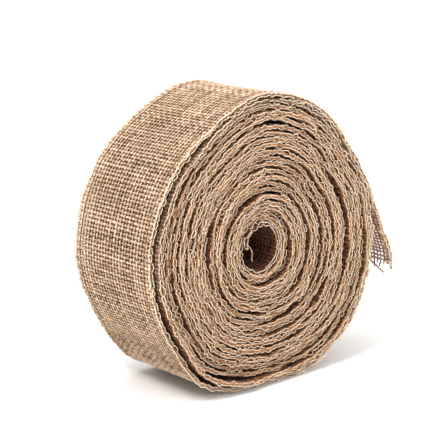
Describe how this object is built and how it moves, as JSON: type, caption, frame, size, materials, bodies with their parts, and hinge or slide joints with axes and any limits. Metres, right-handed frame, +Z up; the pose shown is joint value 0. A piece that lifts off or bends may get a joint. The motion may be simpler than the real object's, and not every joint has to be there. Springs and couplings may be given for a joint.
{
  "type": "ribbon spool",
  "caption": "Coreless roll of open-weave jute ribbon with overlocked edges, an oval spindle hole and a free end that peels off the rim.",
  "frame": {"origin": "middle of the spindle hole, halfway across the ribbon's width", "axes": "+Y along the spindle hole from the front face to the rear face, +Z up with the roll standing on its rim, +X to the right seen from the front, where the free end leaves the rim"},
  "size_m": [0.1361, 0.05, 0.1217],
  "materials": {
    "jute_cloth": "matt open plain weave of natural jute yarn",
    "overlock_thread": "matt light cream overlock thread",
    "jute_yarn": "matt loose jute yarn"
  },
  "bodies": {
    "roll": {"ribbon_wound": "jute_cloth", "front_needle_thread_wound": "overlock_thread", "front_upper_looper_wound": "overlock_thread", "front_lower_looper_wound": "overlock_thread", "rear_needle_thread_wound": "overlock_thread", "rear_upper_looper_wound": "overlock_thread", "rear_lower_looper_wound": "overlock_thread", "loose_thread_core": "overlock_thread"},
    "wrap_1": {"ribbon_wrap_1": "jute_cloth", "front_needle_thread_wrap_1": "overlock_thread", "front_upper_looper_wrap_1": "overlock_thread", "front_lower_looper_wrap_1": "overlock_thread", "rear_needle_thread_wrap_1": "overlock_thread", "rear_upper_looper_wrap_1": "overlock_thread", "rear_lower_looper_wrap_1": "overlock_thread"},
    "wrap_2": {"ribbon_wrap_2": "jute_cloth", "front_needle_thread_wrap_2": "overlock_thread", "front_upper_looper_wrap_2": "overlock_thread", "front_lower_looper_wrap_2": "overlock_thread", "rear_needle_thread_wrap_2": "overlock_thread", "rear_upper_looper_wrap_2": "overlock_thread", "rear_lower_looper_wrap_2": "overlock_thread"},
    "wrap_3": {"ribbon_wrap_3": "jute_cloth", "front_needle_thread_wrap_3": "overlock_thread", "front_upper_looper_wrap_3": "overlock_thread", "front_lower_looper_wrap_3": "overlock_thread", "rear_needle_thread_wrap_3": "overlock_thread", "rear_upper_looper_wrap_3": "overlock_thread", "rear_lower_looper_wrap_3": "overlock_thread"},
    "wrap_4": {"ribbon_wrap_4": "jute_cloth", "front_needle_thread_wrap_4": "overlock_thread", "front_upper_looper_wrap_4": "overlock_thread", "front_lower_looper_wrap_4": "overlock_thread", "rear_needle_thread_wrap_4": "overlock_thread", "rear_upper_looper_wrap_4": "overlock_thread", "rear_lower_looper_wrap_4": "overlock_thread"},
    "tail": {"ribbon_tail": "jute_cloth", "front_needle_thread_tail": "overlock_thread", "front_upper_looper_tail": "overlock_thread", "front_lower_looper_tail": "overlock_thread", "rear_needle_thread_tail": "overlock_thread", "rear_upper_looper_tail": "overlock_thread", "rear_lower_looper_tail": "overlock_thread", "loose_yarn_tail": "jute_yarn"}
  },
  "joints": [
    {"name": "peel_1", "type": "hinge", "parent": "roll", "child": "wrap_1", "pos_m": [-0.05796, 0, 0], "axis": [0, -1, 0], "range_deg": [0, 21]},
    {"name": "peel_2", "type": "hinge", "parent": "wrap_1", "child": "wrap_2", "pos_m": [-0.04205, 0, 0.04145], "axis": [0, -1, 0], "range_deg": [0, 42]},
    {"name": "peel_3", "type": "hinge", "parent": "wrap_2", "child": "wrap_3", "pos_m": [-0.00249, 0, 0.06161], "axis": [0, -1, 0], "range_deg": [0, 42]},
    {"name": "peel_4", "type": "hinge", "parent": "wrap_3", "child": "wrap_4", "pos_m": [0.0404, 0, 0.05012], "axis": [0, -1, 0], "range_deg": [0, 42]},
    {"name": "tail_lift", "type": "hinge", "parent": "wrap_4", "child": "tail", "pos_m": [0.06459, 0, 0.01288], "axis": [0, -1, 0], "range_deg": [-10, 100]}
  ],
  "couplings": [
    {"joint": "peel_2", "follows": "peel_1", "ratio": 2},
    {"joint": "peel_3", "follows": "peel_1", "ratio": 2},
    {"joint": "peel_4", "follows": "peel_1", "ratio": 2}
  ]
}
